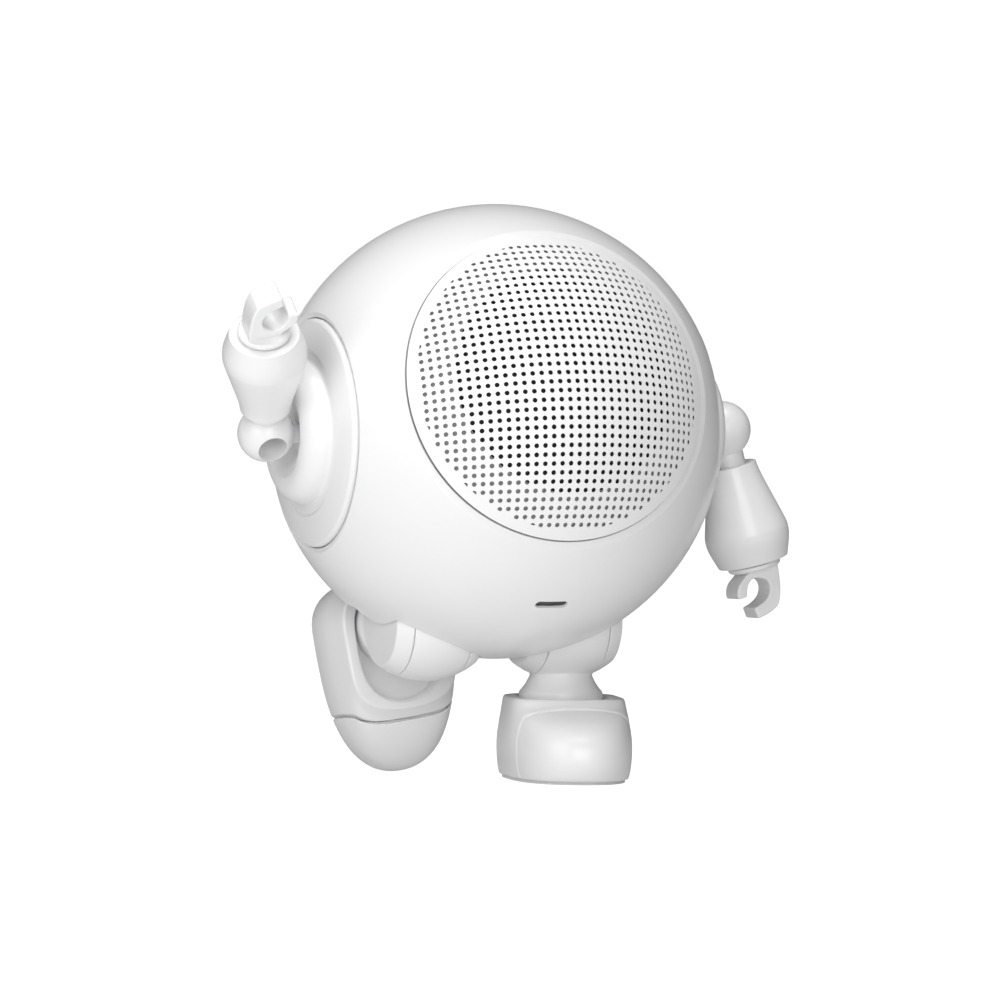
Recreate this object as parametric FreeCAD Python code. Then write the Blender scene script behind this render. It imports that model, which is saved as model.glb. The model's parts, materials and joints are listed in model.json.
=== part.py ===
import FreeCAD, Part
import os
import math
from FreeCAD import Vector as V, Rotation, Placement

os.makedirs("parts", exist_ok=True)

# ---------------------------------------------------------------- driving dimensions, mm
BODY_R = 38.0            # ball
WALL = 2.0               # ball wall
SPLIT_Y = 10.0           # plane where the rear shell meets the front shell
SPLIT_GAP = 0.15

GRILLE_TILT = 18.0       # grille axis, degrees above the horizon
GRILLE_R = 26.1
RECESS_R = 26.3
CHAMFER_R = 27.6
GRILLE_T = 0.5
LEDGE_R = 37.0           # spherical seat under the grille
DRIVER_R = 19.2          # round opening behind the grille
DRIVER_SEAT = 28.2       # plane the loudspeaker is screwed against, along the grille axis

SLOT_LAT = -46.5         # indicator slot, degrees below the horizon
SLOT_W, SLOT_H = 5.7, 1.6

PLATE_X, PLATE_R = 33.0, 19.07       # shoulder disc
PLATE_SEAT_X = 31.2
SHOULDER_X, BALL_R, AXLE_R = 41.06, 4.8, 1.75
BALL_BORE_R, BALL_BORE_DEPTH = 2.5, 7.0
ARM_TILT = 15.0                      # outward lean of the arm from the ball's side
ARM_RAISE = {"left": 0.0, "right": 141.5}    # degrees forward from hanging
WRIST_TWIST = {"left": 5.0, "right": 0.0}  # turn of the hand about the arm

HIP = V(12.3, -0.4, -31.5)           # left hip axis point; the right one is mirrored
BARREL_R, BARREL_END_R, BARREL_HALF = 10.1, 7.56, 8.0
KNUCKLE_HALF = 5.2
EAR_IN = 5.3
PIN_R = 2.0
SOLE_DEPTH = 26.5                    # hip axis to sole
BOOT_H = 13.8
TOE_IN = {"left": 12.0, "right": 9.0}
POCKET_R, POCKET_HALF, POCKET_TOP = 28.5, 11.8, 9.2
POCKET_WALL = 1.5

RUN = 0.05                           # radial running clearance
BUTTONS = {"power_button": (0.0, 12.0, 3.0), "volume_up_button": (8.6, 12.0, 2.4),
           "volume_down_button": (-8.6, 12.0, 2.4)}
BUTTON_TRAVEL = 0.8
SHELL_SCREWS = [(19.5, 19.5), (-19.5, 19.5), (23.3, -16.3), (-23.3, -16.3)]

X, Y, Z, O = V(1, 0, 0), V(0, 1, 0), V(0, 0, 1), V(0, 0, 0)
G = V(0, -math.cos(math.radians(GRILLE_TILT)), math.sin(math.radians(GRILLE_TILT)))


# ---------------------------------------------------------------- small tools
def lathe(path):
    """Solid of revolution about Z. path: (r, z) corners; (rv, zv, r, z) is an arc through (rv, zv)."""
    pts = [V(path[0][0], 0, path[0][1])]
    edges = []
    for p in path[1:]:
        end = V(p[-2], 0, p[-1])
        if len(p) == 4:
            edges.append(Part.Arc(pts[-1], V(p[0], 0, p[1]), end).toShape())
        else:
            edges.append(Part.makeLine(pts[-1], end))
        pts.append(end)
    edges.append(Part.makeLine(pts[-1], pts[0]))
    return Part.Face(Part.Wire(edges)).revolve(O, Z, 360)


def point_z(shape, direction, at=O):
    """Turn a shape's +Z to a direction and move its origin to a point."""
    out = shape.copy()
    out.Placement = Placement(at, Rotation(Z, direction)).multiply(out.Placement)
    return out


def turned(shape, centre, axis, angle):
    out = shape.copy()
    out.rotate(centre, axis, angle)
    return out


def mirrored(shape):
    return shape.mirror(O, X)


def rod(r, start, end):
    d = end - start
    return Part.makeCylinder(r, d.Length, start, d)


def box(x0, x1, y0, y1, z0, z1):
    return Part.makeBox(x1 - x0, y1 - y0, z1 - z0, V(x0, y0, z0))


def ball(r):
    return Part.makeSphere(r, O, Z, -90, 90, 360)


def fused(*shapes):
    out = shapes[0].fuse(list(shapes[1:]))
    return out.removeSplitter()


def sphere_shell(outer, inner):
    return ball(outer).cut(ball(inner))


def seam_spline(points):
    """Closed smooth plan outline, mirrored about X = 0. points: (x, f) from heel to toe."""
    right = [V(x, -f, 0) for x, f in points]
    left = [V(-x, -f, 0) for x, f in reversed(points[1:-1])]
    curve = Part.BSplineCurve()
    curve.interpolate(right + left, PeriodicFlag=True)
    return Part.Face(Part.Wire(curve.toShape()))


# ---------------------------------------------------------------- ball shell
def barrel(grow=0.0, x0=-BARREL_HALF, x1=BARREL_HALF):
    """Hip barrel along X about its own centre, cut to x0..x1."""
    full = lathe([(0, -BARREL_HALF - grow), (BARREL_END_R + grow, -BARREL_HALF - grow),
                  (BARREL_R + grow, 0, BARREL_END_R + grow, BARREL_HALF + grow),
                  (0, BARREL_HALF + grow)])
    full = point_z(full, X)
    return full.common(box(x0 - grow, x1 + grow, -20, 20, -20, 20))


def leg_pocket(grow=0.0):
    """Room in the ball for the folded boot: a slice round the hip axis, roofed above the heel."""
    half = POCKET_HALF + grow
    drum = rod(POCKET_R + grow, V(-half, 0, 0), V(half, 0, 0))
    roof = box(-half - 1, half + 1, 0 if grow else 2, 60, -60, POCKET_TOP + grow)
    roof = turned(roof, O, X, fold_angle - 90)
    out = drum.common(roof)
    out.translate(HIP)
    return out


def slot_prism(grow, y0, y1):
    w, h = SLOT_W / 2 + grow, SLOT_H / 2 + grow
    mid = box(-(w - h), w - h, -h, h, y0, y1)
    prism = fused(mid, rod(h, V(w - h, 0, y0), V(w - h, 0, y1)), rod(h, V(h - w, 0, y0), V(h - w, 0, y1)))
    lat = math.radians(SLOT_LAT)
    d = V(0, -math.cos(lat), math.sin(lat))
    return point_z(prism, d)


def make_shells():
    shell = sphere_shell(BODY_R, BODY_R - WALL)
    # seat for the grille and for the loudspeaker
    inside = ball(LEDGE_R)
    seat = inside.cut(ball(35.0)).common(point_z(Part.makeCylinder(28, 60), G))
    ring = inside.common(point_z(Part.makeCylinder(28, 20, V(0, 0, DRIVER_SEAT)), G))
    # side walls behind the shoulder plates
    walls = []
    for s in (1, -1):
        w = Part.makeCylinder(20.5, 1.6, V(s * (PLATE_SEAT_X - 1.6), 0, 0), V(s, 0, 0))
        if s < 0:
            w = Part.makeCylinder(20.5, 1.6, V(-(PLATE_SEAT_X - 1.6), 0, 0), V(-1, 0, 0))
        walls.append(w.common(ball(37)))
    pocket_skins = [leg_pocket(POCKET_WALL).common(ball(37))]
    pocket_skins.append(mirrored(pocket_skins[0]))
    bosses = []
    for x, z in SHELL_SCREWS:
        out = V(x, 0, z).normalize()
        post = rod(3.2, V(x, 2, z), V(x, 30, z))
        rib = Part.makeBox(12, 28, 2.0, V(0, 2, -1.0))
        rib.rotate(O, Y, -math.degrees(math.atan2(z, x)))
        rib.translate(V(x, 0, z))
        bosses.append(fused(post, rib).common(ball(37)))
    shell = shell.fuse([seat, ring] + walls + pocket_skins + bosses)
    # cuts
    grille_room = point_z(lathe([(0, 10), (RECESS_R, 10), (RECESS_R, 26.8), (CHAMFER_R, 26.12),
                                 (CHAMFER_R, 45), (0, 45)]), G).cut(ball(LEDGE_R))
    cuts = [grille_room, point_z(Part.makeCylinder(DRIVER_R, 60), G), slot_prism(0, 20, 45),
            point_z(Part.makeCylinder(22.7, DRIVER_SEAT - 10, V(0, 0, 10)), G)]
    for p in speaker_screw_points():
        cuts.append(point_z(rod(0.96, p, p + V(0, 0, 3.0)), G))
    for s in (1, -1):
        seat_cut = lathe([(0, PLATE_SEAT_X), (19.3, PLATE_SEAT_X), (19.3, 32.0), (20.5, 32.35),
                          (20.5, 45), (0, 45)])
        cuts += [point_z(seat_cut, V(s, 0, 0)), rod(2.6, V(s * 20, 0, 0), V(s * 40, 0, 0))]
    bay = box(HIP.x - 7.2, HIP.x + 7.2, HIP.y - 4.9, HIP.y + 4.9, HIP.z - 2, -17).common(ball(BODY_R - WALL))
    room = barrel(0.25)
    room.translate(HIP)
    for c in (bay, room, leg_pocket()):
        cuts += [c, mirrored(c)]
    for name, (x, z, r) in BUTTONS.items():
        cuts.append(rod(r + 0.1, V(x, 25, z), V(x, 45, z)))
    cuts.append(box(-4.65, 4.65, 28, 45, -7.8, -4.2))
    for x, z in SHELL_SCREWS:
        cuts += [rod(1.06, V(x, 3.2, z), V(x, SPLIT_Y + 0.1, z)), rod(1.35, V(x, SPLIT_Y, z), V(x, 16, z)),
                 rod(2.75, V(x, 15, z), V(x, 45, z))]
    rim = math.sqrt(BODY_R ** 2 - (SPLIT_Y + SPLIT_GAP / 2) ** 2)
    groove = lathe([(rim - 0.45, SPLIT_Y + SPLIT_GAP / 2), (rim + 1, SPLIT_Y - 1.0), (rim + 1, SPLIT_Y + 1.1)])
    cuts.append(point_z(groove, Y))
    shell = shell.cut(cuts)
    front = shell.common(box(-50, 50, -50, SPLIT_Y, -50, 50))
    rear = shell.common(box(-50, 50, SPLIT_Y + SPLIT_GAP, 50, -50, 50))
    return biggest(front), biggest(rear)


def biggest(shape):
    return max(shape.Solids, key=lambda s: s.Volume)


def make_screw(head_r, head_t, shank_r, length):
    """Screw along -Z, head on top from z = 0 to head_t, cross slot in the head."""
    body = fused(lathe([(0, -length), (shank_r, -length), (shank_r, 0), (head_r, 0),
                        (head_r, head_t * 0.6), (head_r * 0.75, head_t * 0.95, 0, head_t)]))
    for a in (0, 90):
        slot = box(-head_r * 0.6, head_r * 0.6, -0.22, 0.22, head_t * 0.45, head_t + 1)
        body = body.cut(turned(slot, O, Z, a))
    return body


def make_body_parts():
    out = {}
    out["front_shell"], out["rear_shell"] = make_shells()
    screw = make_screw(2.4, 1.6, 1.05, 11.0)
    out["shell_screws"] = Part.makeCompound([point_z(screw, Y, V(x, 15.0, z)) for x, z in SHELL_SCREWS])
    disc = point_z(Part.makeCylinder(GRILLE_R, 60), G)
    out["grille"] = sphere_shell(BODY_R, BODY_R - GRILLE_T).common(disc)
    out["grille_seal"] = sphere_shell(BODY_R - GRILLE_T, LEDGE_R).common(
        disc.cut(point_z(Part.makeCylinder(24.6, 60), G)))
    out["dust_screen"] = sphere_shell(LEDGE_R - 0.05, LEDGE_R - 0.3).common(
        point_z(Part.makeCylinder(DRIVER_R - 0.05, 60), G))
    # black lens with a flange behind the wall
    lens = slot_prism(-0.06, 30, 45).common(sphere_shell(BODY_R - 0.45, BODY_R - WALL - 0.6))
    flange = slot_prism(1.2, 30, 45).common(sphere_shell(BODY_R - WALL - 0.02, BODY_R - WALL - 0.9))
    out["indicator_lens"] = fused(lens, flange)
    # shoulder plates
    profile = [(AXLE_R + RUN, PLATE_SEAT_X), (PLATE_R, PLATE_SEAT_X), (PLATE_R, 32.6), (18.65, 33.0),
               (16.4, 33.62, 13.95, 34.1), (13.75, 33.75), (12.2, 33.95), (11.95, 34.35),
               (10.9, 36.85, 8.3, 38.0), (7.5, 38.02, 6.9, 37.5), (3.3, 35.1), (AXLE_R + RUN, 35.1)]
    for side, s in (("left", 1), ("right", -1)):
        out["shoulder_plate_" + side] = point_z(lathe(profile), V(s, 0, 0))
    # hip frame: one bridge plate and four ears
    bridge = box(-20.5, 20.5, -9.0, 8.2, -20.6, -18.6)
    ears = []
    for x0, x1 in ((-BARREL_HALF, -EAR_IN), (EAR_IN, BARREL_HALF)):
        ear = barrel(0.0, x0, x1)
        ear = ear.fuse(box(max(x0, -7.1), min(x1, 7.1), -4.5, 4.5, 0, 11.5))
        ear = ear.cut(rod(PIN_R + 0.01, V(-20, 0, 0), V(20, 0, 0)))
        ear.translate(HIP)
        ears += [ear, mirrored(ear)]
    out["hip_frame"] = fused(bridge, *ears)
    pin = rod(PIN_R, HIP + V(-7.6, 0, 0), HIP + V(7.6, 0, 0))
    out["hip_pin_left"], out["hip_pin_right"] = pin, mirrored(pin)
    return out


# ---------------------------------------------------------------- loudspeaker and electronics
def make_inside():
    out = {}
    out["speaker_gasket"] = lathe([(19.3, 27.7), (22.4, 27.7), (22.4, 28.2), (19.3, 28.2)])
    basket = lathe([(17.6, 27.7), (22.4, 27.7), (22.4, 26.7), (19.0, 26.7), (12.2, 18.2), (12.2, 16.6),
                    (4.0, 16.6), (4.0, 17.8), (11.2, 17.8), (17.6, 26.2)])
    for a in range(4):
        window = box(9.0, 20.0, -5.5, 5.5, 19.0, 25.0)
        basket = basket.cut(turned(window, O, Z, 90 * a))
    screw_at = speaker_screw_points()
    for p in screw_at:
        hole = rod(0.96, p + V(0, 0, -1), p + V(0, 0, 1.6))
        basket = basket.cut(hole)
        out["speaker_gasket"] = out["speaker_gasket"].cut(hole)
    out["speaker_basket"] = basket
    out["speaker_screws"] = Part.makeCompound([point_z(make_screw(1.45, 0.9, 0.95, 2.8), V(0, 0, -1), p)
                                               for p in screw_at])
    magnet = lathe([(0, 9.6), (10.6, 9.6), (11.0, 10.0), (11.0, 12.2), (10.2, 12.3), (10.2, 12.7), (11.4, 12.8),
                    (11.4, 16.5), (0, 16.5)])
    out["speaker_magnet"] = magnet
    out["speaker_surround"] = lathe([(14.4, 27.75), (15.0, 27.75), (16.9, 29.6, 18.7, 27.75), (19.2, 27.75),
                                     (19.2, 28.15), (18.95, 28.15), (16.9, 30.0, 14.9, 28.15), (14.4, 28.15)])
    out["speaker_cone"] = lathe([(5.0, 21.4), (5.6, 21.4), (15.4, 27.2), (15.4, 27.7), (14.3, 27.7), (5.0, 22.1)])
    dome = Part.makeSphere(11.0, V(0, 0, 14.4)).cut(Part.makeSphere(10.6, V(0, 0, 14.4)))
    out["dust_cap"] = dome.common(Part.makeCylinder(6.2, 20, V(0, 0, 14.4)))
    out = {k: point_z(v, G) for k, v in out.items()}

    board = box(-15, 15, 26.0, 27.2, -12, 17)
    out["circuit_board"] = board
    switches = []
    for x, z, r in BUTTONS.values():
        switches.append(box(x - 1.8, x + 1.8, 27.2, 29.0, z - 1.8, z + 1.8))
    out["button_switches"] = Part.makeCompound(switches)
    socket = box(-4.47, 4.47, 27.2, 37.0, -7.6, -4.4).cut(box(-4.1, 4.1, 30.5, 38, -7.25, -4.75))
    socket = socket.fuse(box(-3.3, 3.3, 30.4, 36.4, -6.3, -5.7))
    out["usb_socket"] = socket.removeSplitter()
    out["battery"] = box(-16, 16, -3.0, 7.0, -12.6, 8)
    tray = box(-17, 17, -4.2, 8.2, -13.8, -12.6)
    for x in (-15, 15):
        for y in (-3.0, 6.0):
            tray = tray.fuse(rod(1.5, V(x, y, -18.6), V(x, y, -13.8)))
    out["battery_tray"] = tray.removeSplitter()
    for name, (x, z, r) in BUTTONS.items():
        face = math.sqrt(BODY_R ** 2 - x ** 2 - z ** 2) + 0.55
        cap = fused(rod(r, V(x, 30.6, z), V(x, face, z)), rod(r + 0.9, V(x, 30.0, z), V(x, 30.9, z)),
                    rod(1.1, V(x, 29.9, z), V(x, 30.5, z)))
        rim = [e for e in cap.Edges if abs(e.BoundBox.YMax - face) < 1e-6 and e.BoundBox.YLength < 1e-6]
        out[name] = cap.makeFillet(0.4, rim)
    return out


def speaker_screw_points():
    """Screw heads' seats on the basket's flange, grille axis as +Z."""
    turns = [math.radians(45 + 90 * i) for i in range(4)]
    return [V(20.8 * math.cos(a), 20.8 * math.sin(a), 26.7) for a in turns]


# ---------------------------------------------------------------- arm (left one, hanging, ball at O)
def smooth(points):
    """Smooth edge through (u, depth below the wrist disc) points of the hand's outline."""
    curve = Part.BSplineCurve()
    curve.interpolate([V(u, 0, -24.1 - t) for u, t in points])
    return curve.toShape()


def make_claw(twist):
    """Wrist disc and C-shaped hand; the arm runs along -Z, u points away from the ball."""
    disc = lathe([(0, -24.1), (4.2, -24.1), (4.45, -23.85), (4.45, -23.3), (0, -23.3)])
    back = [(3.3, 0.0), (3.2, 1.5), (2.95, 3.3), (2.35, 5.6), (1.7, 6.75)]
    tip = [(1.7, 6.75), (0.9, 7.25), (-0.9, 7.8), (-2.6, 8.1)]
    grip = [(-2.85, 6.15), (-1.4, 5.8), (-0.1, 5.15), (0.62, 4.35), (0.9, 3.3), (0.65, 2.35), (0.0, 1.75),
            (-0.9, 1.38), (-1.8, 1.32), (-2.7, 1.85), (-3.3, 2.8), (-3.65, 3.95)]
    thumb = [(-5.3, 4.0), (-5.25, 2.9), (-4.75, 1.85), (-3.6, 0.9), (-2.3, 0.0)]
    edges = []
    runs = [back, tip, grip, thumb]
    for run, after in zip(runs, runs[1:] + runs[:1]):
        edges.append(smooth(run))
        if run[-1] != after[0]:
            p, q = run[-1], after[0]
            edges.append(Part.makeLine(V(p[0], 0, -24.1 - p[1]), V(q[0], 0, -24.1 - q[1])))
    depth = 4.74
    hand = Part.Face(Part.Wire(edges)).extrude(V(0, depth, 0))
    hand.translate(V(0, -depth / 2, 0))
    hand = hand.makeFillet(0.35, [e for e in hand.Edges if e.BoundBox.ZMin < -24.2])
    hand = turned(hand, O, Z, twist)
    claw = hand.fuse(disc).cut(rod(1.6, V(0, 0, -25.1), V(0, 0, -20)))
    return claw.removeSplitter()


def make_arm(twist):
    lean = math.radians(ARM_TILT)
    along = V(math.sin(lean), 0, -math.cos(lean))
    sphere = ball(BALL_R)
    axle = rod(AXLE_R, V(-13.1, 0, 0), V(-3.5, 0, 0))
    stub = rod(2.6, along * 3.6, along * 10.2)
    shoulder = fused(sphere, axle, stub)
    bore = rod(BALL_BORE_R, V(0, BALL_R - BALL_BORE_DEPTH, 0), V(0, BALL_R + 1, 0))
    shoulder = shoulder.cut(bore)
    retainer = rod(4.0, V(-13.0, 0, 0), V(-11.8, 0, 0)).cut(rod(AXLE_R, V(-14, 0, 0), V(-11, 0, 0)))
    # egg-shaped forearm
    pts = [(4.3, -6.2), (4.7, -8.6), (5.9, -13.1), (6.9, -16.8), (7.1, -18.2), (6.9, -19.9), (5.9, -23.0)]
    curve = Part.BSplineCurve()
    curve.interpolate([V(r, 0, z) for r, z in pts])
    wire = Part.Wire([curve.toShape(), Part.makeLine(V(5.9, 0, -23.0), V(0, 0, -23.0)),
                      Part.makeLine(V(0, 0, -23.0), V(0, 0, -6.2)), Part.makeLine(V(0, 0, -6.2), V(4.3, 0, -6.2))])
    arm = Part.Face(wire).revolve(O, Z, 360)
    ends = [e for e in arm.Edges if e.BoundBox.ZLength < 1e-6 and e.Length > 5]
    arm = arm.makeFillet(0.5, ends)
    arm = arm.cut([rod(2.61, V(0, 0, -10.2), V(0, 0, -5)), rod(1.6 + RUN, V(0, 0, -30), V(0, 0, -15.0))])
    pin = rod(1.59, V(0, 0, -25.0), V(0, 0, -15.3))
    claw = make_claw(twist)
    arm, pin, claw = [turned(s, O, Y, -ARM_TILT) for s in (arm, pin, claw)]
    return {"shoulder_ball": shoulder, "shoulder_retainer": retainer, "forearm": arm, "wrist_pin": pin, "claw": claw}


# ---------------------------------------------------------------- boot (toe along -Y, sole at Z = 0, ankle on Z)
BOOT_LEVELS = [  # height, half width, heel, toe, squareness of the front
    (0.1, 9.9, 7.8, 22.4, 3.2), (1.6, 10.3, 8.2, 24.0, 3.2), (4.2, 10.6, 8.6, 24.6, 3.2), (6.8, 10.6, 8.8, 24.2, 3.3),
    (8.6, 10.4, 8.7, 23.0, 3.5), (10.2, 10.15, 8.5, 21.0, 3.9), (11.4, 9.95, 8.35, 18.6, 4.5), (12.4, 9.8, 8.2, 16.1, 5.2),
    (13.3, 9.65, 8.1, 14.8, 5.8), (BOOT_H, 9.45, 7.9, 14.2, 6.0)]


def boot_outline(half, heel, toe, square):
    """Right half of a level outline from heel to toe, as (x, forward) points of two superellipses."""
    turns = [math.radians(15 * k) for k in range(7)]
    rear = [(half * math.cos(t) ** 0.85, -heel * math.sin(t) ** 0.8) for t in reversed(turns[1:])]
    front = [(half * math.cos(t) ** 0.9, toe * math.sin(t) ** (2 / square)) for t in turns]
    points = rear + front
    return [(0.0, points[0][1])] + points[1:-1] + [(0.0, points[-1][1])]


def boot_block(inset=0.0):
    """Smooth boot body lofted through level outlines; inset shrinks it all round."""
    wires = []
    for z, half, heel, toe, square in BOOT_LEVELS:
        face = seam_spline(boot_outline(half - inset, heel - inset, toe - inset, square))
        face.translate(V(0, 0, z * (BOOT_H - inset) / BOOT_H))
        wires.append(face.OuterWire)
    return Part.makeLoft(wires, True, False)


def ahead(gap):
    """Everything in front of the seam between upper and toe cap."""
    side = [(0, 15.8), (3.5, 15.75), (6.0, 15.5), (7.9, 14.8), (9.3, 13.7), (12.0, 12.9)]
    pts = [V(-x, -f - gap, -1) for x, f in reversed(side)] + [V(x, -f - gap, -1) for x, f in side[1:]]
    curve = Part.BSplineCurve()
    curve.interpolate(pts)
    a, b = V(12, -40, -1), V(-12, -40, -1)
    wire = Part.Wire([curve.toShape(), Part.makeLine(pts[-1], a), Part.makeLine(a, b), Part.makeLine(b, pts[0])])
    return Part.Face(wire).extrude(V(0, 0, 20))


def sole_outline(shrink):
    _, half, heel, toe, square = BOOT_LEVELS[0]
    return seam_spline(boot_outline(half - shrink, heel - shrink, toe - shrink, square))


def make_boot():
    block = boot_block()
    # well that takes the ankle cone
    well = fused(rod(7.25, V(0, 0, 11.3), V(0, 0, 20)), box(-7.25, 7.25, -6.5, 0, 11.3, 20),
                 box(-1.25, 1.25, -12.5, -6, 11.3, 20),
                 rod(6.0, V(1.25, -6.5, 11.3), V(1.25, -6.5, 20)), rod(6.0, V(-1.25, -6.5, 11.3), V(-1.25, -6.5, 20)))
    bore = rod(2.5 + RUN, V(0, 0, 3), V(0, 0, 12))
    head_room = rod(3.9, V(0, 0, -1), V(0, 0, 4.0))
    pad = sole_outline(0.3).extrude(V(0, 0, 0.6))
    pad_room = sole_outline(0.29).extrude(V(0, 0, 0.6))
    tongue = box(-4, 4, -17, -10, 3.0, 8.0)
    core = boot_block(0.8)
    upper = block.cut([ahead(0.0), well, bore, head_room, tongue, pad_room])
    toe = block.common(ahead(0.45)).fuse([core.common(ahead(0.0)), tongue]).removeSplitter().cut(pad_room)
    screw = point_z(make_screw(3.4, 1.3, 1.1, 6.0), V(0, 0, -1), V(0, 0, 3.95))
    return {"boot_upper": biggest(upper), "toe_cap": biggest(toe), "sole_pad": pad, "ankle_screw": screw}


def make_knuckle():
    """Hip slice with the ankle cone, hip axis at O, foot along -Z."""
    d = SOLE_DEPTH
    slab = barrel(0.0, -KNUCKLE_HALF, KNUCKLE_HALF)
    cone = lathe([(0, -5.0), (4.9, -5.0), (5.07, -8.9), (5.9, -10.7, 7.0, -12.1), (7.0, 11.6 - d), (2.5, 11.6 - d),
                  (2.5, 4.0 - d), (0, 4.0 - d)])
    body = fused(slab, cone)
    body = body.cut([rod(PIN_R + RUN, V(-9, 0, 0), V(9, 0, 0)), rod(1.11, V(0, 0, 3.0 - d), V(0, 0, 10.2 - d))])
    return body


def lowest_turn(block):
    """Back-fold angle of the leg that puts the toe on the floor with the other sole."""
    lo, hi = 70.0, 95.0
    for _ in range(24):
        mid = (lo + hi) / 2
        if turned(block, O, X, mid).optimalBoundingBox(False, False).ZMin < -SOLE_DEPTH:
            lo = mid
        else:
            hi = mid
    return hi


block = turned(boot_block(), O, Z, -TOE_IN["right"])
block.translate(V(0, 0, -SOLE_DEPTH))
fold_angle = round(lowest_turn(block), 3)
LEG_FOLD = {"left": 0.0, "right": fold_angle}

nodes = {}
nodes.update(make_body_parts())
nodes.update(make_inside())
for side in ("left", "right"):
    for name, shape in make_arm(WRIST_TWIST[side]).items():
        shape = turned(shape, O, X, -ARM_RAISE[side])
        shape.translate(V(SHOULDER_X, 0, 0))
        nodes[name + "_" + side] = shape if side == "left" else mirrored(shape)
    leg = {"hip_knuckle": make_knuckle()}
    for name, shape in make_boot().items():
        shape = turned(shape, O, Z, -TOE_IN[side])
        shape.translate(V(0, 0, -SOLE_DEPTH))
        leg[name] = shape
    for name, shape in leg.items():
        shape = turned(shape, O, X, LEG_FOLD[side])
        shape.translate(HIP)
        nodes[name + "_" + side] = shape if side == "left" else mirrored(shape)

# origin: middle of the footprint's bounding box, on the floor
bounds = Part.makeCompound(list(nodes.values())).optimalBoundingBox(False, False)
SHIFT = V(-bounds.Center.x, -bounds.Center.y, -bounds.ZMin)
for name, shape in nodes.items():
    shape.translate(SHIFT)
    shape.exportStep("parts/" + name + ".step")
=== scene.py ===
import bmesh
import bpy
import json
import math
from mathutils import Matrix, Vector
from mathutils.geometry import delaunay_2d_cdt

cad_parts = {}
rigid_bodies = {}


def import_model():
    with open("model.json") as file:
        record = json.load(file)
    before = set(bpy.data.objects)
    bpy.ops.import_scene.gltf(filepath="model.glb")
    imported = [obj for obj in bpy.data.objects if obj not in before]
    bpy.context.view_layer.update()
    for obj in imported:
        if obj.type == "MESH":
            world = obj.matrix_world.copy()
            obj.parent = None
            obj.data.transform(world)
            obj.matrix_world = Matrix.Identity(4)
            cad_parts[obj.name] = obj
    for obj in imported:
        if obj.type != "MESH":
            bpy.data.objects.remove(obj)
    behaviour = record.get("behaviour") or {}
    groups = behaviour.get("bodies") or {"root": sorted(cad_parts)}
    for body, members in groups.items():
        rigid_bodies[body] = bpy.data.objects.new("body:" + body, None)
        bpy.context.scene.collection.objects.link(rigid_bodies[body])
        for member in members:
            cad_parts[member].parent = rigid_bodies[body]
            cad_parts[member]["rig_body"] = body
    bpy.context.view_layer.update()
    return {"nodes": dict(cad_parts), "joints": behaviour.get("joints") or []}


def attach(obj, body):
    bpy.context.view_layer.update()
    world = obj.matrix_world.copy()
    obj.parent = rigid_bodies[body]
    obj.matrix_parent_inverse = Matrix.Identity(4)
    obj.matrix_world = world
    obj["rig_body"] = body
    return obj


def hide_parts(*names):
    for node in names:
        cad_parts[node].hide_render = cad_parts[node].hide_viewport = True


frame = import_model()
SIDES = ("left", "right")

# ------------------------------------------------------------------ sizes, metres
MM = 0.001
CENTRE = Vector((0.0, 0.0, 58.0)) * MM      # middle of the ball
BALL_R = 38.0 * MM
GRILLE_TILT = math.radians(18.0)
GRILLE_AXIS = Vector((0.0, -math.cos(GRILLE_TILT), math.sin(GRILLE_TILT)))

# ------------------------------------------------------------------ materials


def material(name):
    mat = bpy.data.materials.new(name)
    mat.use_nodes = True
    nodes, links = mat.node_tree.nodes, mat.node_tree.links
    shader = nodes["Principled BSDF"]
    coord = nodes.new("ShaderNodeTexCoord")
    return mat, nodes, links, shader, coord.outputs["Object"]


def noise(nodes, links, coord, scale, detail=3.0, rough=0.5):
    n = nodes.new("ShaderNodeTexNoise")
    n.inputs["Scale"].default_value = scale
    n.inputs["Detail"].default_value = detail
    n.inputs["Roughness"].default_value = rough
    links.new(coord, n.inputs["Vector"])
    return n.outputs["Fac"]


def spread(nodes, links, value, low, high, a=0.3, b=0.7):
    m = nodes.new("ShaderNodeMapRange")
    for socket, v in (("From Min", a), ("From Max", b), ("To Min", low), ("To Max", high)):
        m.inputs[socket].default_value = v
    links.new(value, m.inputs["Value"])
    return m.outputs["Result"]


PEEL, PEEL_SCALE = 0.00001, 1400.0          # depth in metres and fineness of the orange peel
SHADE_SCALE, GLOSS_SCALE = 38.0, 90.0       # broad patches of shade and of gloss
SPECK = 0.01                                # how much lighter the light patches are
GLOSS_LOW, GLOSS_HIGH = 0.93, 1.07
SCRATCH_STRETCH = (60.0, 2600.0, 2600.0)


def dented(nodes, links, shader, height, strength, depth):
    """Shows a height pattern as small dents."""
    bump = nodes.new("ShaderNodeBump")
    bump.inputs["Strength"].default_value = strength
    bump.inputs["Distance"].default_value = depth
    links.new(height, bump.inputs["Height"])
    links.new(bump.outputs["Normal"], shader.inputs["Normal"])


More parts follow.
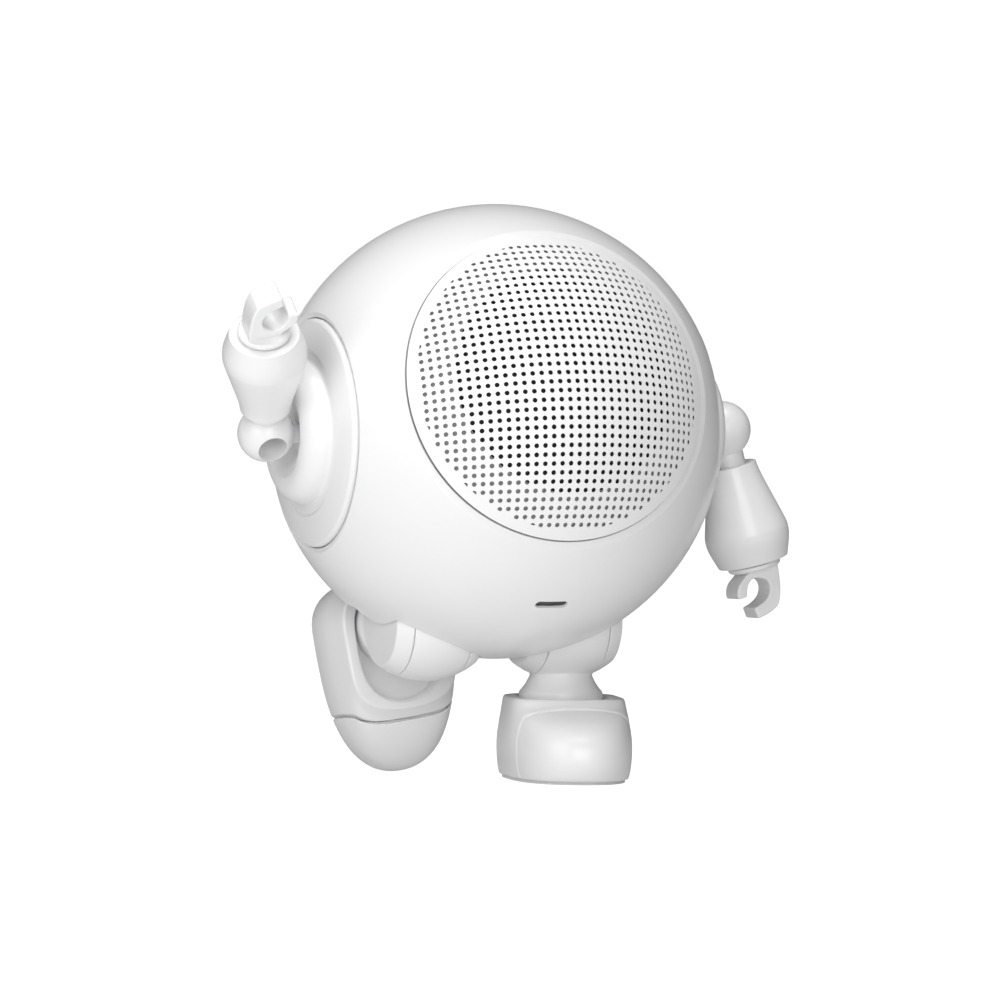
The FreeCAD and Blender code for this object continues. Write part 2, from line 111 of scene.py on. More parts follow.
def moulded(name, colour, rough, coat=0.0, peel=PEEL, peel_scale=PEEL_SCALE, metal=0.0,
            vary=0.006):
    """Moulded or coated surface: slight shade and gloss variation and a fine orange peel."""
    mat, nodes, links, shader, coord = material(name)
    shade = nodes.new("ShaderNodeMix")
    shade.data_type = "RGBA"
    shade.inputs["A"].default_value = [c * (1 - vary) for c in colour] + [1]
    shade.inputs["B"].default_value = [min(1.0, c * (1 + SPECK)) for c in colour] + [1]
    patches = noise(nodes, links, coord, SHADE_SCALE, 1.5)
    links.new(spread(nodes, links, patches, 0.0, 1.0, 0.2, 0.8), shade.inputs["Factor"])
    links.new(shade.outputs["Result"], shader.inputs["Base Color"])
    gloss = noise(nodes, links, coord, GLOSS_SCALE, 2.0)
    links.new(spread(nodes, links, gloss, rough * GLOSS_LOW, rough * GLOSS_HIGH, 0.2, 0.8),
              shader.inputs["Roughness"])
    dented(nodes, links, shader, noise(nodes, links, coord, peel_scale, 2.0), 0.35, peel)
    shader.inputs["Metallic"].default_value = metal
    shader.inputs["Coat Weight"].default_value = coat
    return mat


def turned_steel(name, colour, rough=0.28):
    """Bright steel with fine scratches."""
    mat, nodes, links, shader, coord = material(name)
    shader.inputs["Metallic"].default_value = 1.0
    shader.inputs["Base Color"].default_value = colour + [1]
    stretch = nodes.new("ShaderNodeMapping")
    stretch.inputs["Scale"].default_value = SCRATCH_STRETCH
    links.new(coord, stretch.inputs["Vector"])
    scratches = noise(nodes, links, stretch.outputs["Vector"], 1.0, 5.0, 0.7)
    links.new(spread(nodes, links, scratches, rough * 0.7, rough * 1.5), shader.inputs["Roughness"])
    dented(nodes, links, shader, scratches, 0.3, PEEL)
    return mat


WHITE = [0.84, 0.84, 0.845]
shell_white = moulded("shell_white", WHITE, 0.30, coat=0.25)
limb_white = moulded("limb_white", WHITE, 0.33, coat=0.2)
frame_white = moulded("frame_white", WHITE, 0.36)
grille_white = moulded("grille_white", [0.86, 0.86, 0.86], 0.42, peel=0.000014, peel_scale=2600.0)
MATERIALS = {
    "front_shell": shell_white, "rear_shell": shell_white, "shoulder_plate": shell_white,
    "grille": grille_white, "hip_frame": frame_white, "battery_tray": frame_white,
    "grille_seal": moulded("seal_grey", [0.3, 0.3, 0.3], 0.8, peel=0.00002),
    "speaker_gasket": moulded("gasket_grey", [0.12, 0.12, 0.12], 0.8, peel=0.00003),
    "indicator_lens": moulded("lens_black", [0.006, 0.006, 0.007], 0.12, coat=0.6, peel=0.000002),
    "speaker_magnet": moulded("magnet_grey", [0.09, 0.09, 0.1], 0.45, metal=0.6),
    "speaker_basket": moulded("basket_black", [0.02, 0.02, 0.02], 0.45),
    "speaker_cone": moulded("cone_black", [0.012, 0.012, 0.012], 0.75, peel=0.00006, peel_scale=3000.0),
    "dust_cap": moulded("cap_black", [0.015, 0.015, 0.015], 0.6, peel=0.00005, peel_scale=3000.0),
    "speaker_surround": moulded("surround_black", [0.012, 0.012, 0.012], 0.55),
    "dust_screen": moulded("cloth_black", [0.006, 0.006, 0.006], 0.85, peel=0.00008, peel_scale=2600.0),
    "circuit_board": moulded("board_green", [0.01, 0.12, 0.05], 0.35, coat=0.4, vary=0.2),
    "button_switches": moulded("switch_black", [0.03, 0.03, 0.03], 0.5),
    "battery": moulded("cell_blue", [0.05, 0.11, 0.3], 0.4, vary=0.1),
    "power_button": moulded("button_grey", [0.74, 0.74, 0.75], 0.45, peel=0.00002),
    "sole_pad": moulded("sole_grey", [0.7, 0.7, 0.7], 0.65, peel=0.00004, peel_scale=1800.0),
}
MATERIALS["volume_up_button"] = MATERIALS["volume_down_button"] = MATERIALS["power_button"]
steel = turned_steel("bright_steel", [0.62, 0.62, 0.64])
for node in ("shell_screws", "speaker_screws", "hip_pin", "wrist_pin", "ankle_screw", "shoulder_retainer",
             "usb_socket"):
    MATERIALS[node] = steel
for node in ("shoulder_ball", "forearm", "claw", "hip_knuckle", "boot_upper", "toe_cap"):
    MATERIALS[node] = limb_white


def material_of(node):
    return MATERIALS[node.replace("_left", "").replace("_right", "")]


for name, obj in frame["nodes"].items():
    obj.data.materials.clear()
    obj.data.materials.append(material_of(name))

# ------------------------------------------------------------------ placing, millimetres to the frame
RANGE = {j["name"]: j["range_deg"] for j in frame["joints"] if j.get("range_deg")}
ARM_TILT = 15.0
ARM_RAISE = {"left": 0.0, "right": 141.5}
SHOULDER_X = 41.06
HIP = Vector((12.3, -0.4, -31.5))
LEG_FOLD = {"left": 0.0, "right": RANGE["hip_left"][1]}
TOE_IN = {"left": 12.0, "right": 9.0}
SOLE_DEPTH = 26.5


def turn(angle, axis):
    return Matrix.Rotation(math.radians(angle), 4, axis)


def side_frame(side, local):
    """Left-hand place of a piece, mirrored for the right side, in metres about the ball's middle."""
    mirror = Matrix.Diagonal((-1 if side == "right" else 1, 1, 1, 1))
    return Matrix.Translation(CENTRE) @ Matrix.Scale(MM, 4) @ mirror @ local


def arm_frame(side):
    return side_frame(side, Matrix.Translation((SHOULDER_X, 0, 0))
                      @ turn(-ARM_RAISE[side], "X") @ turn(-ARM_TILT, "Y"))


def leg_frame(side):
    return side_frame(side, Matrix.Translation(HIP) @ turn(LEG_FOLD[side], "X"))


def boot_frame(side):
    return leg_frame(side) @ Matrix.Translation((0, 0, -SOLE_DEPTH)) @ turn(-TOE_IN[side], "Z")


# ------------------------------------------------------------------ mesh tools


def new_object(name, verts, faces):
    mesh = bpy.data.meshes.new(name)
    mesh.from_pydata(verts, [], faces)
    mesh.validate()
    bm = bmesh.new()
    bm.from_mesh(mesh)
    bmesh.ops.recalc_face_normals(bm, faces=bm.faces)
    bm.to_mesh(mesh)
    bm.free()
    obj = bpy.data.objects.new(name, mesh)
    bpy.context.scene.collection.objects.link(obj)
    return obj


def put(obj, node, place=None):
    """Makes a finished mesh the look of one CAD node."""
    mesh = obj.data
    if place is not None:
        mesh.transform(place)
        if place.determinant() < 0:
            mesh.flip_normals()
    mesh.materials.clear()
    mesh.materials.append(material_of(node))
    obj.name = mesh.name = "look_" + node
    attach(obj, frame["nodes"][node]["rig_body"])
    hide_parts(node)
    return obj


def catmull(points, steps, closed=False):
    """Points on a smooth curve through the given ones."""
    n = len(points)
    at = (lambda i: points[i % n]) if closed else (lambda i: points[max(0, min(n - 1, i))])
    out = []
    for i in range(n if closed else n - 1):
        p0, p1, p2, p3 = (Vector(at(i + k)) for k in (-1, 0, 1, 2))
        for s in range(steps):
            t = s / steps
            out.append(0.5 * (2 * p1 + (p2 - p0) * t + (2 * p0 - 5 * p1 + 4 * p2 - p3) * t * t
                              + (3 * p1 - p0 - 3 * p2 + p3) * t ** 3))
    return out if closed else out + [Vector(points[-1])]


def arc(a, via, b, steps=24):
    """Points on the circle through three points of a profile, without the first."""
    (ax, ay), (bx, by), (cx, cy) = a, via, b
    d = 2 * (ax * (by - cy) + bx * (cy - ay) + cx * (ay - by))
    aa, bb, cc = ax * ax + ay * ay, bx * bx + by * by, cx * cx + cy * cy
    ux = (aa * (by - cy) + bb * (cy - ay) + cc * (ay - by)) / d
    uy = (aa * (cx - bx) + bb * (ax - cx) + cc * (bx - ax)) / d
    r = math.hypot(ax - ux, ay - uy)
    t0, t1, t2 = (math.atan2(y - uy, x - ux) for x, y in (a, via, b))
    turn_by = (t2 - t0) % (2 * math.pi)
    if (t1 - t0) % (2 * math.pi) > turn_by:
        turn_by -= 2 * math.pi
    return [(ux + r * math.cos(t0 + turn_by * k / steps), uy + r * math.sin(t0 + turn_by * k / steps))
            for k in range(1, steps + 1)]


def rounded(profile, radius):
    """Profile with its corners turned over a small radius."""
    out = [Vector(profile[0])]
    for a, b, c in zip(profile, profile[1:], profile[2:]):
        a, b, c = Vector(a), Vector(b), Vector(c)
        into, away = b - a, c - b
        if into.length < 1e-6 or away.length < 1e-6 or into.angle(away) < math.radians(16):
            out.append(b)
            continue
        p = b - into.normalized() * min(radius, into.length * 0.45)
        q = b + away.normalized() * min(radius, away.length * 0.45)
        out += [p * (1 - t) ** 2 + b * 2 * t * (1 - t) + q * t * t for t in (0, 0.25, 0.5, 0.75, 1)]
    return out + [Vector(profile[-1])]


def circle(r, count):
    """Points of a circle about the origin."""
    angles = [2 * math.pi * i / count for i in range(count)]
    return [Vector((r * math.cos(a), r * math.sin(a))) for a in angles]


def revolve(profile, sides=160, closed=False):
    """Closed mesh turned about Z from an (r, z) profile; points on the axis close it."""
    verts, rows, faces = [], [], []
    for r, z in profile:
        start = len(verts)
        if r < 1e-6:
            verts.append(Vector((0, 0, z)))
            rows.append([start] * sides)
        else:
            verts += [Vector((p.x, p.y, z)) for p in circle(r, sides)]
            rows.append(list(range(start, start + sides)))
    for a, b in zip(rows, rows[1:] + (rows[:1] if closed else [])):
        for i in range(sides):
            j = (i + 1) % sides
            face = [a[i], a[j], b[j], b[i]]
            face = [v for k, v in enumerate(face) if v != face[k - 1]]
            if len(face) > 2:
                faces.append(face)
    return verts, faces


def tube(rows, n):
    """Faces between rows of n points each."""
    return [(r * n + i, r * n + (i + 1) % n, r * n + n + (i + 1) % n, r * n + n + i)
            for r in range(rows - 1) for i in range(n)]


def turned_piece(node, profile, place, closed=False, along_x=False):
    verts, faces = revolve(profile, closed=closed)
    obj = new_object(node, verts, faces)
    if along_x:
        obj.data.transform(turn(90, "Y"))
    obj.data.shade_smooth()
    obj.data.set_sharp_from_angle(angle=math.radians(40))
    return put(obj, node, place)


def settle(obj, modifiers):
    """Replaces an object's mesh with the result of some modifiers."""
    for kind, settings in modifiers:
        m = obj.modifiers.new(kind, kind)
        for key, value in settings.items():
            setattr(m, key, value)
    graph = bpy.context.evaluated_depsgraph_get()
    mesh = bpy.data.meshes.new_from_object(obj.evaluated_get(graph))
    obj.modifiers.clear()
    old, obj.data = obj.data, mesh
    bpy.data.meshes.remove(old)
    return obj


def carve(obj, operation, tool):
    settle(obj, [("BOOLEAN", {"operation": operation, "object": tool, "solver": "EXACT"})])
    bpy.data.objects.remove(tool)
    return obj


def soften(obj, voxel, passes, surface=None):
    """Even dense mesh with softly rounded edges; points near a known surface are put back on it."""
    settle(obj, [("REMESH", {"mode": "VOXEL", "voxel_size": voxel, "use_smooth_shade": True}),
                 ("SMOOTH", {"factor": 0.5, "iterations": passes})])
    if surface:
        for v in obj.data.vertices:
            hit = surface(v.co)
            if hit and (hit - v.co).length < voxel * 0.35:
                v.co = hit
    obj.data.shade_smooth()
    return obj


def copy_of(node):
    """Copy of a CAD node's mesh with its double points merged and plain normals."""
    mesh = frame["nodes"][node].data.copy()
    bm = bmesh.new()
    bm.from_mesh(mesh)
    bmesh.ops.remove_doubles(bm, verts=bm.verts, dist=2e-6)
    bmesh.ops.dissolve_degenerate(bm, edges=bm.edges, dist=1e-6)
    bm.to_mesh(mesh)
    bm.free()
    if "custom_normal" in mesh.attributes:
        mesh.attributes.remove(mesh.attributes["custom_normal"])
    obj = bpy.data.objects.new(node, mesh)
    bpy.context.scene.collection.objects.link(obj)
    return obj


SMALL_FACE = 5e-9      # square metres


def true_normals(obj, surface):
    """Corner normals of faces that lie on a known surface come from that surface."""
    mesh = obj.data
    mesh.shade_smooth()
    mesh.set_sharp_from_angle(angle=math.radians(30))
    normals = [Vector(n.vector) for n in mesh.corner_normals]
    exact = [surface(v.co) for v in mesh.vertices]
    for face in mesh.polygons:
        if all(exact[v] for v in face.vertices) and (
                face.area < SMALL_FACE or exact[face.vertices[0]].dot(face.normal) > 0.3):
            for corner, v in zip(face.loop_indices, face.vertices):
                normals[corner] = exact[v]
    mesh.normals_split_custom_set(normals)
    return obj


def sphere_normal(centre, radius, tolerance=0.00002):
    def surface(p):
        out = p - centre
        return out.normalized() if abs(out.length - radius) < tolerance else None
    return surface


# ------------------------------------------------------------------ perforated grille
RIM_ARC = BALL_R * math.asin(26.24 / 38.0)    # radius of the sheet measured over the dome
FIELD_ARC = RIM_ARC - 1.9 * MM                # radius of the field of holes
PITCH = 1.53 * MM
HOLE_R = 0.42 * MM
SHEET = 0.16 * MM
SHEET_R = BALL_R - 0.03 * MM                  # outside of the sheet, just under the ball
RIM_SIDES, BORDER_SIDES, HOLE_SIDES = 192, 160, 16
BORDER_ROWS = (0.3, 0.65)                     # extra points so that the plain border follows the dome


def perforated_sheet():
    """Flat disc with holes as points and triangles."""
    points, edges, faces = [], [], []

    def loop(ring):
        start = len(points)
        points.extend(ring)
        count = len(ring)
        edges.extend((start + i, start + (i + 1) % count) for i in range(count))
        faces.append(list(range(start, start + count)))

    loop(circle(RIM_ARC, RIM_SIDES))
    reach = int(FIELD_ARC / PITCH) + 1
    for i in range(-reach, reach + 1):
        for j in range(-reach, reach + 1):
            c = Vector((i * PITCH, j * PITCH))
            if c.length > FIELD_ARC + 0.1 * MM:
                continue
            ring = []
            for k in range(HOLE_SIDES):
                a = 2 * math.pi * k / HOLE_SIDES
                p = c + HOLE_R * Vector((math.cos(a), math.sin(a)))
                if p.length > FIELD_ARC:
                    p *= FIELD_ARC / p.length
                ring.append(p)
            loop(ring)
    for part in BORDER_ROWS:
        points.extend(circle(FIELD_ARC + (RIM_ARC - FIELD_ARC) * part, BORDER_SIDES))
    flat, _, tris, _, _, inside = delaunay_2d_cdt(points, edges, faces, 0, 1e-7, True)
    return flat, [f for f, loops in zip(tris, inside) if list(loops) == [0]]


def dome(p, r):
    """Point of the flat sheet laid over a ball of radius r about the ball's middle."""
    length = p.length
    if length < 1e-9:
        return GRILLE_AXIS * r
    up = Vector((0.0, math.sin(GRILLE_TILT), math.cos(GRILLE_TILT)))
    side = Vector((1.0, 0.0, 0.0))
    angle = length / BALL_R
    across = (side * (p.x / length) + up * (p.y / length)) * (r * math.sin(angle))
    return across + GRILLE_AXIS * (r * math.cos(angle))


def build_grille():
    flat, tris = perforated_sheet()
    used = sorted({i for f in tris for i in f})
    index = {old: new for new, old in enumerate(used)}
    n = len(used)
    verts = [CENTRE + dome(flat[i], r) for r in (SHEET_R, SHEET_R - SHEET) for i in used]
    top = [[index[i] for i in f] for f in tris]
    faces = top + [[i + n for i in reversed(f)] for f in top]
    sides = {(a, b): True for f in top for a, b in zip(f, f[1:] + f[:1])}
    faces += [[b, a, a + n, b + n] for a, b in sides if (b, a) not in sides]
    mesh = bpy.data.meshes.new("perforated_grille")
    mesh.from_pydata(verts, [], faces)
    mesh.validate()
    mesh.shade_smooth()
    mesh.set_sharp_from_angle(angle=math.radians(35))
    obj = bpy.data.objects.new("perforated_grille", mesh)
    bpy.context.scene.collection.objects.link(obj)
    return put(obj, "grille")


build_grille()

# black cloth close behind the sheet, and the grey seal around it: ball radii and distances from the axis
CLOTH_IN, CLOTH_OUT, CLOTH_EDGE = 37.2, 37.6, 19.15
SEAL_IN, SEAL_OUT = 37.15, 37.45
SEAL_RINGS = (19.3, 20.7, 22.1, 23.5, 24.8, 26.0)


def on_ball(radius, angle):
    return radius * math.sin(angle), radius * math.cos(angle)


def cap(radius, edge, steps=24):
    """Profile over a ball from beside its pole to a distance from the axis."""
    return [on_ball(radius, math.asin(edge / radius) * k / steps) for k in range(1, steps + 1)]


cloth = [(0, CLOTH_IN)] + cap(CLOTH_IN, CLOTH_EDGE)
cloth += cap(CLOTH_OUT, CLOTH_EDGE)[::-1] + [(0, CLOTH_OUT)]
seal = [on_ball(SEAL_IN, math.asin(r / SEAL_IN)) for r in SEAL_RINGS]
seal += [on_ball(SEAL_OUT, math.asin(r / SEAL_OUT)) for r in SEAL_RINGS[::-1]]
facing = GRILLE_AXIS.to_track_quat("Z", "Y").to_matrix().to_4x4()
grille_frame = Matrix.Translation(CENTRE) @ Matrix.Scale(MM, 4) @ facing
turned_piece("dust_screen", cloth, grille_frame)
turned_piece("grille_seal", seal, grille_frame, closed=True)

# ------------------------------------------------------------------ ball and shoulder plates
for node in ("front_shell", "rear_shell"):
    put(true_normals(copy_of(node), sphere_normal(CENTRE, BALL_R)), node)

plate = [(1.8, 31.2), (19.07, 31.2), (19.07, 32.6), (18.65, 33.0)]       # distance from the axle, x
plate += arc((18.65, 33.0), (16.4, 33.62), (13.95, 34.1))
plate += [(13.75, 33.75), (12.2, 33.95), (11.95, 34.35)]
plate += arc((11.95, 34.35), (10.9, 36.85), (8.3, 38.0))
plate += [(7.5, 38.0), (6.9, 37.5), (3.3, 35.1), (1.8, 35.1)]
for side in SIDES:
    turned_piece("shoulder_plate_" + side, rounded(plate, 0.3), side_frame(side, Matrix()),
                 closed=True, along_x=True)

# ------------------------------------------------------------------ arms
SHOULDER_BALL_R = 4.8 * MM
NECK_R, NECK_END, SLEEVE_TOP = 2.61, -10.2, -6.2      # hole for the shoulder ball's neck
PIN_R, PIN_END, WRIST = 1.65, -15.0, -23.0            # hole for the wrist pin
sleeve = [(4.3, SLEEVE_TOP), (4.7, -8.6), (5.9, -13.1), (6.9, -16.8), (7.1, -18.2), (6.9, -19.9),
          (5.9, WRIST)]
forearm = [(0, NECK_END), (NECK_R, NECK_END), (NECK_R, SLEEVE_TOP)]
forearm += [tuple(p) for p in catmull(sleeve, 8)]
forearm += [(PIN_R, WRIST), (PIN_R, PIN_END), (0, PIN_END)]
for side in SIDES:
    place = arm_frame(side)
    turned_piece("forearm_" + side, rounded(forearm, 0.5), place)
    ball = "shoulder_ball_" + side
    middle = place @ Vector((0, 0, 0))
    put(true_normals(copy_of(ball), sphere_normal(middle, SHOULDER_BALL_R)), ball)

# ------------------------------------------------------------------ legs
BARREL_R, BARREL_END_R, BARREL_HALF = 10.1, 7.56, 8.0
BARREL_INSIDE = 5.0                           # points nearer the axis than this aren't on the barrel
PIN_CAPS_AT, PIN_CAP_R, PIN_CAP_T = (-7.97, 7.3), 2.4, 0.67
LEG_VOXEL, LEG_PASSES = 0.2 * MM, 5
ROUND_R = (BARREL_HALF ** 2 + (BARREL_R - BARREL_END_R) ** 2) / (2 * (BARREL_R - BARREL_END_R))


def barrel_surface(places):
    """Nearest point of the hip barrels' crowned surface, in metres."""
    def surface(p):
        best = None
        for place, back in places:
            q = back @ p
            out = math.hypot(q.y, q.z)
            if out < BARREL_INSIDE or abs(q.x) > BARREL_HALF:
                continue
            away = Vector((q.x, out + ROUND_R - BARREL_R)).normalized() * ROUND_R
            r = away.y - ROUND_R + BARREL_R
            hit = place @ Vector((away.x, q.y / out * r, q.z / out * r))
            if best is None or (hit - p).length < (best - p).length:
                best = hit
        return best
    return surface


hips = {side: side_frame(side, Matrix.Translation(HIP)) for side in SIDES}
plugs = []
for m in hips.values():
    for x in PIN_CAPS_AT:                      # caps over the pin's ends
        end = x + PIN_CAP_T
        verts, faces = revolve([(0, x), (PIN_CAP_R, x), (PIN_CAP_R, end), (0, end)], 48)
        plug = new_object("plug", verts, faces)
        plug.data.transform(m @ turn(90, "Y"))
        plugs.append(plug)
hip_look = copy_of("hip_frame")
merged = bmesh.new()
for part in [hip_look] + plugs:
    merged.from_mesh(part.data)
merged.to_mesh(hip_look.data)
merged.free()
for plug in plugs:
    bpy.data.objects.remove(plug)
barrels = barrel_surface([(m, m.inverted()) for m in hips.values()])
put(soften(hip_look, LEG_VOXEL, LEG_PASSES, barrels), "hip_frame")
for side in SIDES:
    m = leg_frame(side)
    knuckle = "hip_knuckle_" + side
    put(soften(copy_of(knuckle), LEG_VOXEL, LEG_PASSES, barrel_surface([(m, m.inverted())])), knuckle)

# ------------------------------------------------------------------ boots, sole at Z = 0, toe along -Y
BOOT_H = 13.8
BOOT_LEVELS = [  # height, half width, heel, toe, squareness of the front
    (0.1, 9.9, 7.8, 22.4, 3.2), (1.6, 10.3, 8.2, 24.0, 3.2), (4.2, 10.6, 8.6, 24.6, 3.2),
    (6.8, 10.6, 8.8, 24.2, 3.3), (8.6, 10.4, 8.7, 23.0, 3.5), (10.2, 10.15, 8.5, 21.0, 3.9),
    (11.4, 9.95, 8.35, 18.6, 4.5), (12.4, 9.8, 8.2, 16.1, 5.2), (13.3, 9.65, 8.1, 14.8, 5.8),
    (BOOT_H, 9.45, 7.9, 14.2, 6.0)]
SEAM = [(0, 15.8), (3.5, 15.75), (6.0, 15.5), (7.9, 14.8), (9.3, 13.7), (12.0, 12.9)]   # x, ahead
SEAM_GAP = 0.45
SOLE_TOP = 0.6                                # the boot starts above the sole pad
SKIN, CORE = 0.05, 0.8                        # how far the outside and the toe's core are drawn in
CUT_LOW, CUT_HIGH, CUT_AHEAD = -2, 20, -40    # tools reach past the boot
SCREW_R, SCREW_TOP, ANKLE_R, ANKLE_TOP = 3.9, 4.0, 2.55, 16
WELL_R = 7.25
WELL_FRONT = [(WELL_R, -5.0), (6.4, -8.9), (4.2, -11.4), (1.25, -12.5)]
WELL_LEVELS = ((11.3, 1), (12.6, 1.0), (13.3, 1.02), (14.0, 1.07), (CUT_HIGH, 1.3))   # height, widening
BOOT_VOXEL, BOOT_PASSES = 0.16, 3


def boot_outline(half, heel, toe, square, steps=30):
    """Closed level outline made of two superellipses, toe along -Y."""
    ring = []
    for k in range(4 * steps):
        t = math.pi / 2 * k / steps
        c, s = math.cos(t), math.sin(t)
        x = half * math.copysign(abs(c) ** (0.9 if s > 0 else 0.85), c)
        f = toe * s ** (2 / square) if s > 0 else -heel * abs(s) ** 0.8
        ring.append((x, -f))
    return ring


def boot_body(inset, base):
    """Smooth solid through the boot's level outlines."""
    verts = []
    levels = [p for p in catmull([Vector(p) for p in BOOT_LEVELS], 5) if p[0] >= base]
    for z, half, heel, toe, square in levels:
        ring = boot_outline(half - inset, heel - inset, toe - inset, square)
        z = base + (z - levels[0][0]) * (BOOT_H - inset - base) / (BOOT_H - levels[0][0])
        verts += [Vector((x, y, z)) for x, y in ring]
    n = len(ring)
    faces = tube(len(levels), n)
    faces += [tuple(range(n)), tuple(range(len(verts) - 1, len(verts) - n - 1, -1))]
    return new_object("boot_body", verts, faces)


def ahead_of_seam(gap):
    """Block ahead of the curved seam between upper and toe cap."""
    side = [(-x, -f - gap) for x, f in reversed(SEAM)] + [(x, -f - gap) for x, f in SEAM[1:]]
    ring = [Vector(p) for p in catmull([Vector(p) for p in side], 10)]
    ring += [Vector((12, CUT_AHEAD)), Vector((-12, CUT_AHEAD))]
    n = len(ring)
    verts = [Vector((p.x, p.y, z)) for z in (CUT_LOW, CUT_HIGH) for p in ring]
    faces = [tuple(range(n)), tuple(range(2 * n - 1, n - 1, -1))]
    faces += [((i + 1) % n, i, n + i, n + (i + 1) % n) for i in range(n)]
    return new_object("tool", verts, faces)


def ankle_bore():
    """Stepped hole for the ankle screw's head and the ankle."""
    profile = [(0, CUT_LOW), (SCREW_R, CUT_LOW), (SCREW_R, SCREW_TOP), (ANKLE_R, SCREW_TOP),
               (ANKLE_R, ANKLE_TOP), (0, ANKLE_TOP)]
    return new_object("tool", *revolve(profile, 96))


def ankle_well():
    """Hollow in the boot's top that the ankle cone stands in."""
    angles = [math.radians(a) for a in range(0, 181, 5)]
    ring = [Vector((WELL_R * math.cos(a), WELL_R * math.sin(a))) for a in angles]
    ring += [Vector((-x, y)) for x, y in WELL_FRONT] + [Vector(p) for p in WELL_FRONT[::-1]]
    ring = catmull(ring, 3, closed=True)
    n, rows = len(ring), len(WELL_LEVELS)
    verts = [Vector((p.x * k, p.y * k, z)) for z, k in WELL_LEVELS for p in ring]
    faces = [tuple(range(n - 1, -1, -1)), tuple(range((rows - 1) * n, rows * n))] + tube(rows, n)
    return new_object("tool", verts, faces)


def build_boot(side):
    bore, well = ankle_bore(), ankle_well()
    upper = boot_body(SKIN, SOLE_TOP)
    for tool in (well, bore, ahead_of_seam(0.0)):
        carve(upper, "DIFFERENCE", tool)
    toe = carve(boot_body(SKIN, SOLE_TOP), "INTERSECT", ahead_of_seam(SEAM_GAP))
    core = carve(boot_body(CORE, SOLE_TOP), "INTERSECT", ahead_of_seam(SKIN))
    carve(toe, "UNION", core)
    put(soften(upper, BOOT_VOXEL, BOOT_PASSES), "boot_upper_" + side, boot_frame(side))
    put(soften(toe, BOOT_VOXEL, BOOT_PASSES), "toe_cap_" + side, boot_frame(side))


for side in SIDES:
    build_boot(side)

# ------------------------------------------------------------------ floor, light, camera
GLOW_LEAN = (-0.6, -0.8, 0.0)         # the lit floor is brightest on this side of the object
GLOW_LOW, GLOW_HIGH = 0.12, 0.64
WORLD_LEAN = (-0.8, 0.25, 0.4)
WORLD_LOW, WORLD_HIGH = 0.04, 0.16
PSI, ELEV, ROLL = math.radians(21.96), math.radians(2.96), math.radians(-0.69)
DISTANCE = 5.0
LENS, SENSOR = 1088.5, 36.0
AIM_DOWN, AIM_RIGHT = 0.01062, 0.00005        # metres from the ball's middle to the picture's middle
FLOOR_HALF = 14.0
right = Vector((math.cos(PSI), -math.sin(PSI), 0.0))
up = Vector((math.sin(ELEV) * math.sin(PSI), math.sin(ELEV) * math.cos(PSI), math.cos(ELEV)))
back = Vector((-math.sin(PSI) * math.cos(ELEV), -math.cos(PSI) * math.cos(ELEV), math.sin(ELEV)))


def leaning(nodes, links, coord, way, low, high, start, end):
    """Strength that rises along a direction."""
    lean = nodes.new("ShaderNodeVectorMath")
    lean.operation = "DOT_PRODUCT"
    lean.inputs[1].default_value = way
    links.new(coord, lean.inputs[0])
    return spread(nodes, links, lean.outputs["Value"], low, high, start, end)


def white_to_camera(nodes, links, lit, strength):
    """Full strength where the camera sees it, another as a light."""
    path = nodes.new("ShaderNodeLightPath")
    mix = nodes.new("ShaderNodeMix")
    links.new(path.outputs["Is Camera Ray"], mix.inputs["Factor"])
    links.new(lit, mix.inputs["A"])
    mix.inputs["B"].default_value = 1.0
    links.new(mix.outputs["Result"], strength)


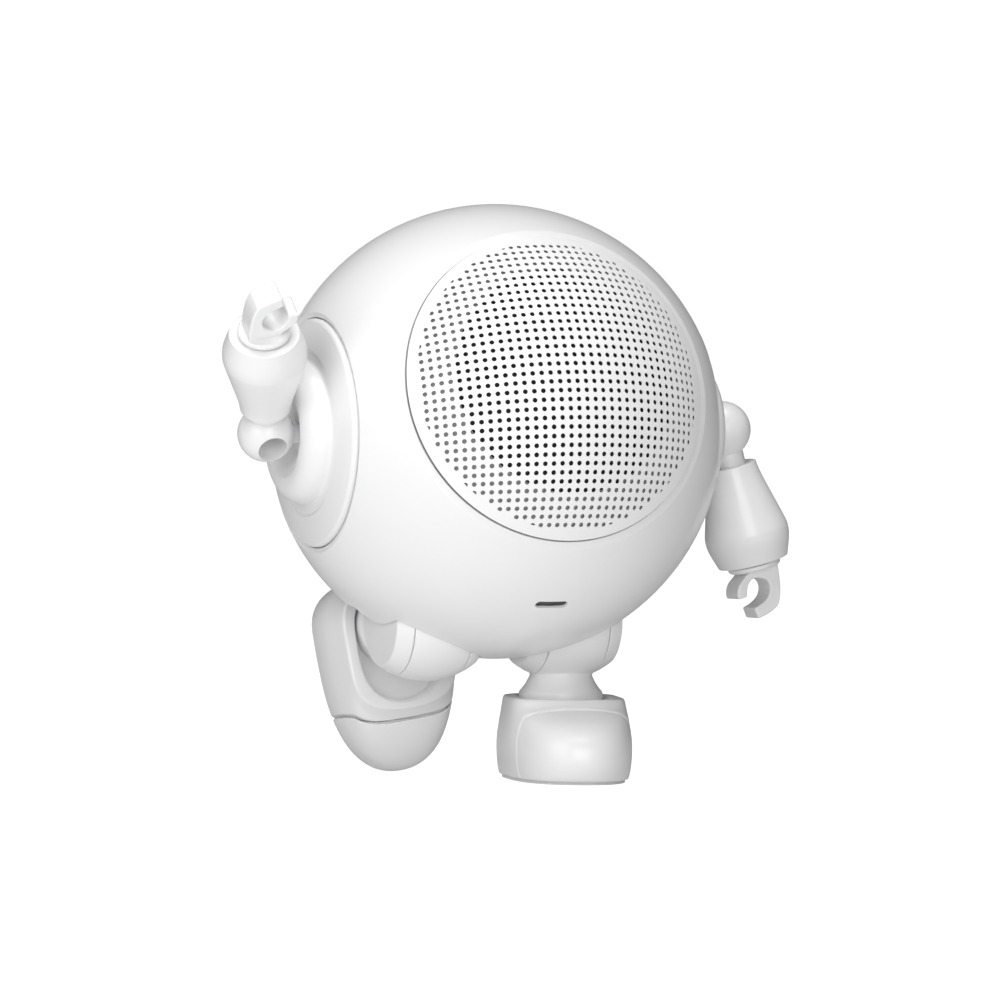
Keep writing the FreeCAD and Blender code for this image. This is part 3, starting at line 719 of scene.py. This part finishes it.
floor_mesh = bpy.data.meshes.new("floor")
corners = [(x * FLOOR_HALF, y * FLOOR_HALF, 0) for x, y in ((-1, -1), (1, -1), (1, 1), (-1, 1))]
floor_mesh.from_pydata(corners, [], [(0, 1, 2, 3)])
floor = bpy.data.objects.new("floor", floor_mesh)
bpy.context.scene.collection.objects.link(floor)
floor_mat, nodes, links, floor_shader, floor_coord = material("floor_white")
floor_shader.inputs["Base Color"].default_value = (0.3, 0.3, 0.3, 1)
floor_shader.inputs["Roughness"].default_value = 0.7
floor_shader.inputs["Emission Color"].default_value = (1, 1, 1, 1)
glow = leaning(nodes, links, floor_coord, GLOW_LEAN, GLOW_LOW, GLOW_HIGH, -0.06, 0.09)
white_to_camera(nodes, links, glow, floor_shader.inputs["Emission Strength"])
floor_mesh.materials.append(floor_mat)

# the world is white behind the object; as a light it is brighter on the camera's left and overhead
world = bpy.data.worlds.new("studio")
bpy.context.scene.world = world
world.use_nodes = True
nodes, links = world.node_tree.nodes, world.node_tree.links
sky = nodes["Background"]
sky.inputs["Color"].default_value = (1, 1, 1, 1)
around = nodes.new("ShaderNodeTexCoord").outputs["Generated"]
fill = leaning(nodes, links, around, WORLD_LEAN, WORLD_LOW, WORLD_HIGH, -1, 1)
white_to_camera(nodes, links, fill, sky.inputs["Strength"])


def softbox(name, toward, distance, size, power):
    """Square light in a direction given as right, up and towards the camera."""
    light = bpy.data.lights.new(name, "AREA")
    light.size = size
    light.energy = power
    obj = bpy.data.objects.new(name, light)
    way = (right * toward[0] + up * toward[1] + back * toward[2]).normalized()
    obj.location = CENTRE + way * distance
    obj.rotation_euler = (-way).to_track_quat("-Z", "Y").to_euler()
    bpy.context.scene.collection.objects.link(obj)


softbox("key", (-0.58, 0.34, 0.74), 1.2, 0.8, 5.2)
softbox("top", (0.0, 0.95, 0.3), 1.0, 0.6, 6.8)
softbox("front", (0.2, 0.12, 0.95), 1.4, 0.7, 6.6)

cam_x = right * math.cos(ROLL) - up * math.sin(ROLL)
cam_y = right * math.sin(ROLL) + up * math.cos(ROLL)
spot = CENTRE + back * DISTANCE - cam_y * AIM_DOWN + cam_x * AIM_RIGHT
lens = bpy.data.cameras.new("camera")
lens.sensor_width = SENSOR
lens.lens = LENS
lens.clip_end = 50.0
camera = bpy.data.objects.new("camera", lens)
camera.matrix_world = Matrix(((cam_x.x, cam_y.x, back.x, spot.x),
                              (cam_x.y, cam_y.y, back.y, spot.y),
                              (cam_x.z, cam_y.z, back.z, spot.z), (0, 0, 0, 1)))
bpy.context.scene.collection.objects.link(camera)
bpy.context.scene.camera = camera
bpy.context.scene.view_settings.view_transform = "Standard"
